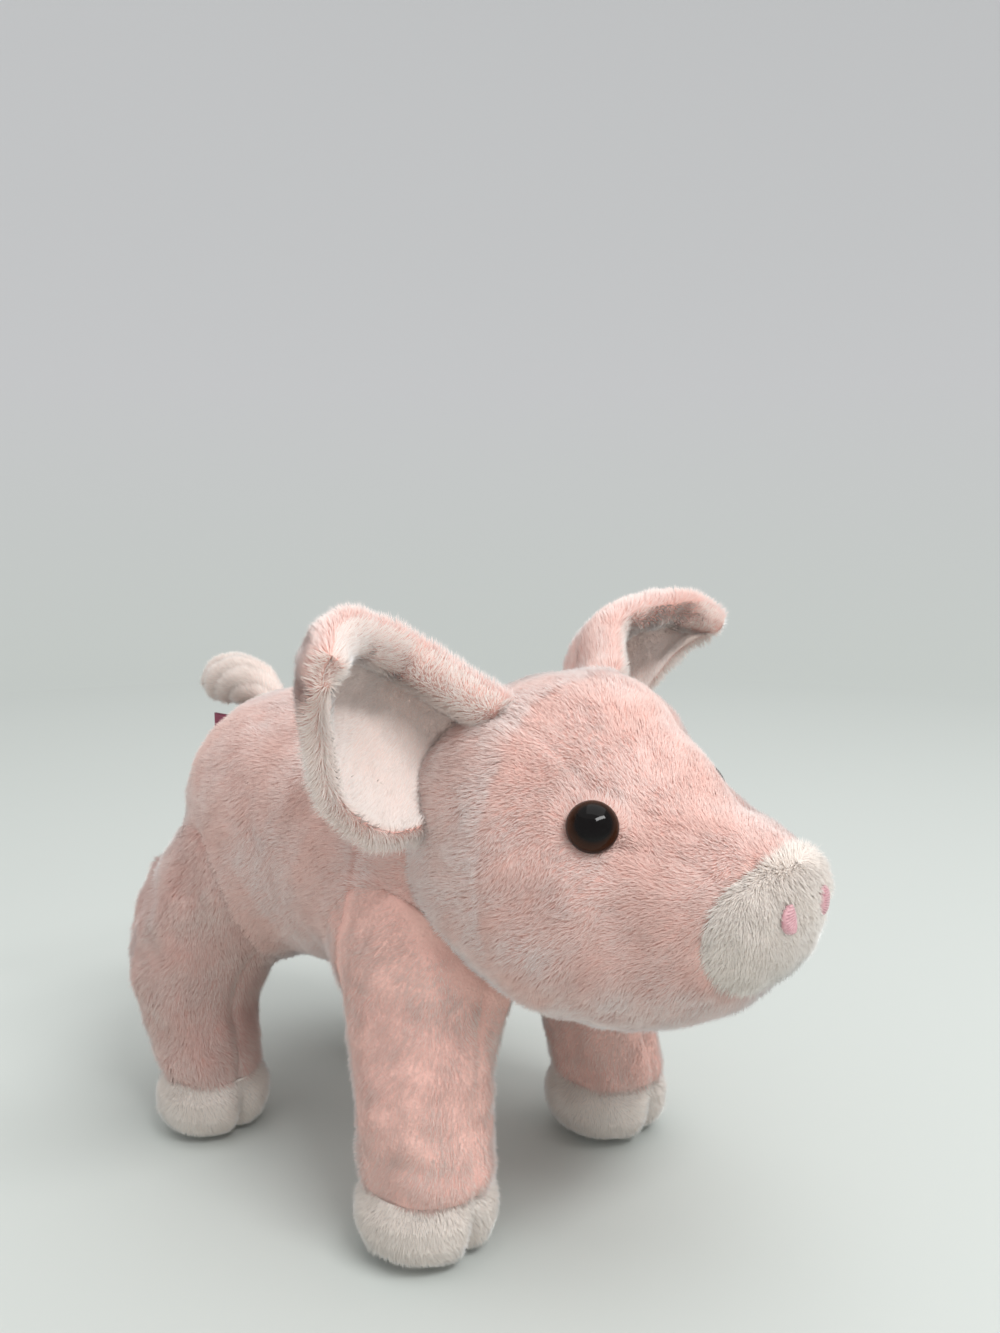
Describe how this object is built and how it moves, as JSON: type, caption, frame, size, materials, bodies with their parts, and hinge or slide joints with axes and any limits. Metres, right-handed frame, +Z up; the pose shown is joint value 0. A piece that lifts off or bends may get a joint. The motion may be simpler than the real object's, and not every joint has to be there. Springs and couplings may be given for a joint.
{
  "type": "plush pig",
  "caption": "Stuffed plush pig that stands on its hooves, with a tilted head, safety eyes, stitched nostrils, lined cupped ears, a wrung tail and a bare sewn-in ribbon tab.",
  "frame": {"origin": "on the floor under the middle of the whole pig's box, ears and tail included", "axes": "the pig faces -Y, its right side is -X, +Z is up"},
  "size_m": [0.1346, 0.193, 0.1438],
  "materials": {
    "pink_plush": "matte",
    "white_plush": "matte",
    "ear_lining": "matte",
    "stuffing_fibre": "matte",
    "eye_plastic": "gloss",
    "washer_nylon": "matte",
    "nostril_thread": "satin",
    "label_ribbon": "satin"
  },
  "bodies": {
    "pig": {"body_cover": "pink_plush", "body_stuffing": "stuffing_fibre", "head_cover": "pink_plush", "snout_cover": "white_plush", "head_stuffing": "stuffing_fibre", "front_leg_right_cover": "pink_plush", "front_leg_right_hoof": "white_plush", "front_leg_right_stuffing": "stuffing_fibre", "hind_leg_right_cover": "pink_plush", "hind_leg_right_hoof": "white_plush", "hind_leg_right_stuffing": "stuffing_fibre", "front_leg_left_cover": "pink_plush", "front_leg_left_hoof": "white_plush", "front_leg_left_stuffing": "stuffing_fibre", "hind_leg_left_cover": "pink_plush", "hind_leg_left_hoof": "white_plush", "hind_leg_left_stuffing": "stuffing_fibre", "eye_right": "eye_plastic", "eye_right_washer": "washer_nylon", "nostril_right": "nostril_thread", "eye_left": "eye_plastic", "eye_left_washer": "washer_nylon", "nostril_left": "nostril_thread"},
    "ear_right": {"ear_right_plush": "pink_plush", "ear_right_lining": "ear_lining"},
    "ear_left": {"ear_left_plush": "pink_plush", "ear_left_lining": "ear_lining"},
    "tail": {"tail": "pink_plush"},
    "label": {"label": "label_ribbon"}
  },
  "joints": [
    {"name": "ear_right_flap", "type": "hinge", "parent": "pig", "child": "ear_right", "pos_m": [-0.02814, -0.02734, 0.10779], "axis": [0.4124, -0.3443, 0.8434], "range_deg": [-15, 15], "stiffness_Nm_per_rad": 0.05},
    {"name": "ear_left_flap", "type": "hinge", "parent": "pig", "child": "ear_left", "pos_m": [0.03074, -0.02888, 0.11087], "axis": [-0.5157, -0.32, 0.7947], "range_deg": [-15, 15], "stiffness_Nm_per_rad": 0.05},
    {"name": "tail_wag", "type": "hinge", "parent": "pig", "child": "tail", "pos_m": [0.00193, 0.07039, 0.10841], "axis": [0, 0, 1], "range_deg": [-15, 15], "stiffness_Nm_per_rad": 0.02},
    {"name": "label_bend", "type": "hinge", "parent": "pig", "child": "label", "pos_m": [0.00193, 0.08002, 0.09341], "axis": [0, 0, 1], "range_deg": [-30, 30], "stiffness_Nm_per_rad": 0.001}
  ]
}
